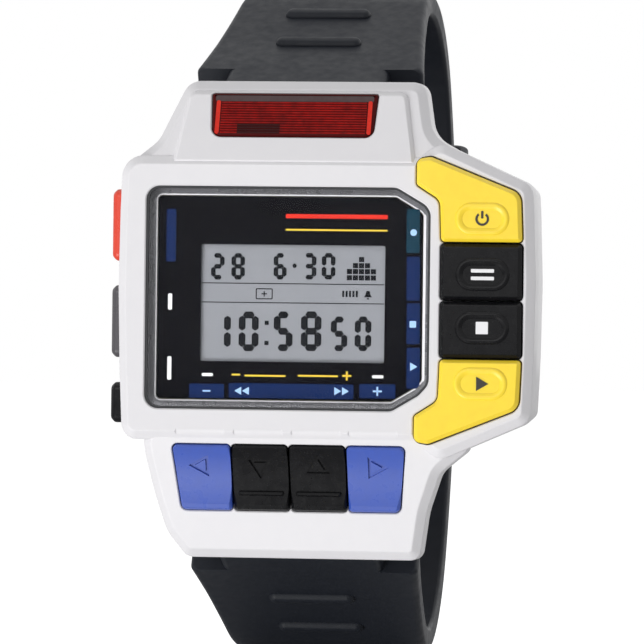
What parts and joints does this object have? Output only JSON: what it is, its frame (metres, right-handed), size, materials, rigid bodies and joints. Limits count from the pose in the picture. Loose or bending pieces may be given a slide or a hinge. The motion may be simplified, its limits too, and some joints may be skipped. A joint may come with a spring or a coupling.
{
  "type": "remote control wrist watch",
  "caption": "Digital wrist watch with sprung remote control keys, side pushers, an infrared window and a hinged rubber strap with buckle.",
  "frame": {"origin": "centre of the case back's outer face, which lies against the wrist", "axes": "+Y out of the case back towards the wrist, +Z towards 12 o'clock, +X towards 3 o'clock; the watch stands upright and its face looks along -Y"},
  "size_m": [0.0431, 0.0595, 0.0692],
  "materials": {
    "case_plastic": "pearl white, fine satin gloss",
    "back_steel": "brushed",
    "spring_steel": "satin",
    "seal_rubber": "matt",
    "clear_crystal": "polished",
    "panel_print": "black printed panel",
    "display_glass": "grey liquid crystal glass",
    "holder_plastic": "matt",
    "board_green": "solder mask",
    "chip_black": "matt",
    "piezo_brass": "satin",
    "infrared_red": "deep red, clear",
    "mat_rubber": "matt",
    "key_yellow": "semi gloss",
    "key_black": "semi gloss",
    "key_blue": "semi gloss",
    "pusher_red": "semi gloss",
    "pusher_grey": "semi gloss",
    "strap_rubber": "fine matt"
  },
  "bodies": {
    "case": {"case_middle": "case_plastic", "case_back": "back_steel", "case_back_screws": "spring_steel", "case_back_gasket": "seal_rubber", "crystal": "clear_crystal", "crystal_gasket": "seal_rubber", "display_panel": "panel_print", "lcd_glass": "display_glass", "lcd_reflector": "spring_steel", "lcd_holder": "holder_plastic", "zebra_strips": "mat_rubber", "circuit_board": "board_green", "processor_chip": "chip_black", "quartz_can": "spring_steel", "battery_holder": "holder_plastic", "battery": "spring_steel", "battery_clip": "spring_steel", "buzzer_disc": "piezo_brass", "buzzer_spring": "spring_steel", "infrared_window": "infrared_red", "infrared_lamps": "infrared_red", "right_key_mat": "mat_rubber", "front_key_mat": "mat_rubber", "front_key_board": "board_green", "pusher_springs": "spring_steel", "pusher_seals": "seal_rubber", "upper_spring_bar": "spring_steel", "lower_spring_bar": "spring_steel"},
    "upper_yellow_key_body": {"upper_yellow_key": "key_yellow"},
    "upper_black_key_body": {"upper_black_key": "key_black"},
    "lower_black_key_body": {"lower_black_key": "key_black"},
    "lower_yellow_key_body": {"lower_yellow_key": "key_yellow"},
    "front_left_key_body": {"front_left_key": "key_blue"},
    "front_down_key_body": {"front_down_key": "key_black"},
    "front_up_key_body": {"front_up_key": "key_black"},
    "front_right_key_body": {"front_right_key": "key_blue"},
    "red_pusher_body": {"red_pusher": "pusher_red"},
    "grey_pusher_body": {"grey_pusher": "pusher_grey"},
    "black_pusher_body": {"black_pusher": "key_black"},
    "upper_strap_body": {"upper_strap": "strap_rubber", "fixed_keeper": "strap_rubber", "buckle_pin": "spring_steel"},
    "lower_strap_body": {"lower_strap": "strap_rubber"},
    "keeper_body": {"sliding_keeper": "strap_rubber"},
    "buckle_body": {"buckle_frame": "back_steel"},
    "prong_body": {"buckle_prong": "back_steel"}
  },
  "joints": [
    {"name": "upper_yellow_key_press", "type": "slide", "parent": "case", "child": "upper_yellow_key_body", "axis": [0, 1, 0], "range_m": [0, 0.0005], "stiffness_N_per_m": 1500, "springref_m": -0.0004},
    {"name": "upper_black_key_press", "type": "slide", "parent": "case", "child": "upper_black_key_body", "axis": [0, 1, 0], "range_m": [0, 0.0005], "stiffness_N_per_m": 1500, "springref_m": -0.0004},
    {"name": "lower_black_key_press", "type": "slide", "parent": "case", "child": "lower_black_key_body", "axis": [0, 1, 0], "range_m": [0, 0.0005], "stiffness_N_per_m": 1500, "springref_m": -0.0004},
    {"name": "lower_yellow_key_press", "type": "slide", "parent": "case", "child": "lower_yellow_key_body", "axis": [0, 1, 0], "range_m": [0, 0.0005], "stiffness_N_per_m": 1500, "springref_m": -0.0004},
    {"name": "front_left_key_press", "type": "slide", "parent": "case", "child": "front_left_key_body", "axis": [0, 0.9397, 0.342], "range_m": [0, 0.0005], "stiffness_N_per_m": 1500, "springref_m": -0.0004},
    {"name": "front_down_key_press", "type": "slide", "parent": "case", "child": "front_down_key_body", "axis": [0, 0.9397, 0.342], "range_m": [0, 0.0005], "stiffness_N_per_m": 1500, "springref_m": -0.0004},
    {"name": "front_up_key_press", "type": "slide", "parent": "case", "child": "front_up_key_body", "axis": [0, 0.9397, 0.342], "range_m": [0, 0.0005], "stiffness_N_per_m": 1500, "springref_m": -0.0004},
    {"name": "front_right_key_press", "type": "slide", "parent": "case", "child": "front_right_key_body", "axis": [0, 0.9397, 0.342], "range_m": [0, 0.0005], "stiffness_N_per_m": 1500, "springref_m": -0.0004},
    {"name": "red_pusher_press", "type": "slide", "parent": "case", "child": "red_pusher_body", "axis": [1, 0, 0], "range_m": [0, 0.0005], "stiffness_N_per_m": 2000, "springref_m": -0.0004},
    {"name": "grey_pusher_press", "type": "slide", "parent": "case", "child": "grey_pusher_body", "axis": [1, 0, 0], "range_m": [0, 0.0005], "stiffness_N_per_m": 2000, "springref_m": -0.0004},
    {"name": "black_pusher_press", "type": "slide", "parent": "case", "child": "black_pusher_body", "axis": [1, 0, 0], "range_m": [0, 0.0005], "stiffness_N_per_m": 2000, "springref_m": -0.0004},
    {"name": "upper_strap_swing", "type": "hinge", "parent": "case", "child": "upper_strap_body", "pos_m": [-0.0011, -0.0034, 0.0216], "axis": [1, 0, 0], "range_deg": [-2, 45]},
    {"name": "lower_strap_swing", "type": "hinge", "parent": "case", "child": "lower_strap_body", "pos_m": [-0.0011, -0.0034, -0.0216], "axis": [-1, 0, 0], "range_deg": [-2, 45]},
    {"name": "keeper_slide", "type": "hinge", "parent": "upper_strap_body", "child": "keeper_body", "pos_m": [-0.0011, -0.00787, 0], "axis": [1, 0, 0], "range_deg": [0, 4.5]},
    {"name": "buckle_swing", "type": "hinge", "parent": "upper_strap_body", "child": "buckle_body", "pos_m": [-0.0011, 0.04214, 0.009], "axis": [1, 0, 0], "range_deg": [-30, 60]},
    {"name": "prong_swing", "type": "hinge", "parent": "buckle_body", "child": "prong_body", "pos_m": [-0.0011, 0.04214, 0.009], "axis": [1, 0, 0], "range_deg": [0, 45]}
  ]
}
